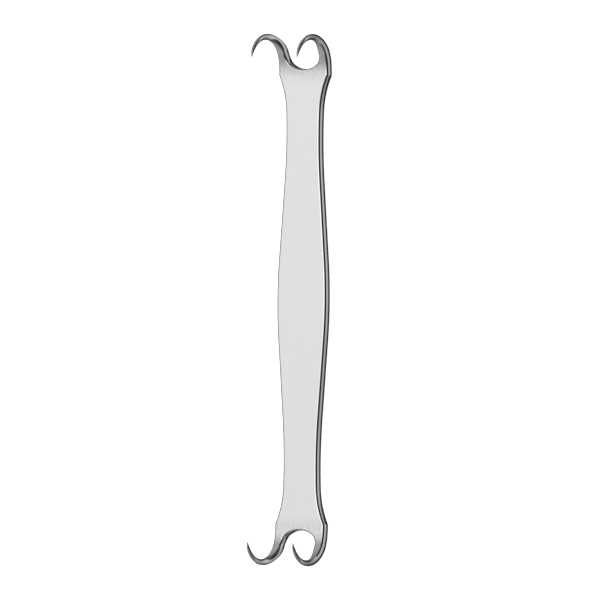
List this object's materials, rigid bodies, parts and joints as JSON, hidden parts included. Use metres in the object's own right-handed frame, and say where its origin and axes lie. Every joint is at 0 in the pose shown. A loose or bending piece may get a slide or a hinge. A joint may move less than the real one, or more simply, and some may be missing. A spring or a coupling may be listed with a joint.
{
  "type": "surgical retractor",
  "caption": "Flat steel bar, swelling at the grip and narrow at the waists, whose notched ends curl up into sharp prongs that hold back the edge of a wound.",
  "frame": {"origin": "centre of the flat back face, halfway between the two ends", "axes": "X is the width, Y the length and +Z points out of the front face, the way the prongs curl; Z = 0 is the back face, on which it lies"},
  "size_m": [0.0188, 0.165, 0.0183],
  "materials": {
    "steel": "satin"
  },
  "bodies": {
    "root": {"retractor": "steel"}
  },
  "joints": []
}
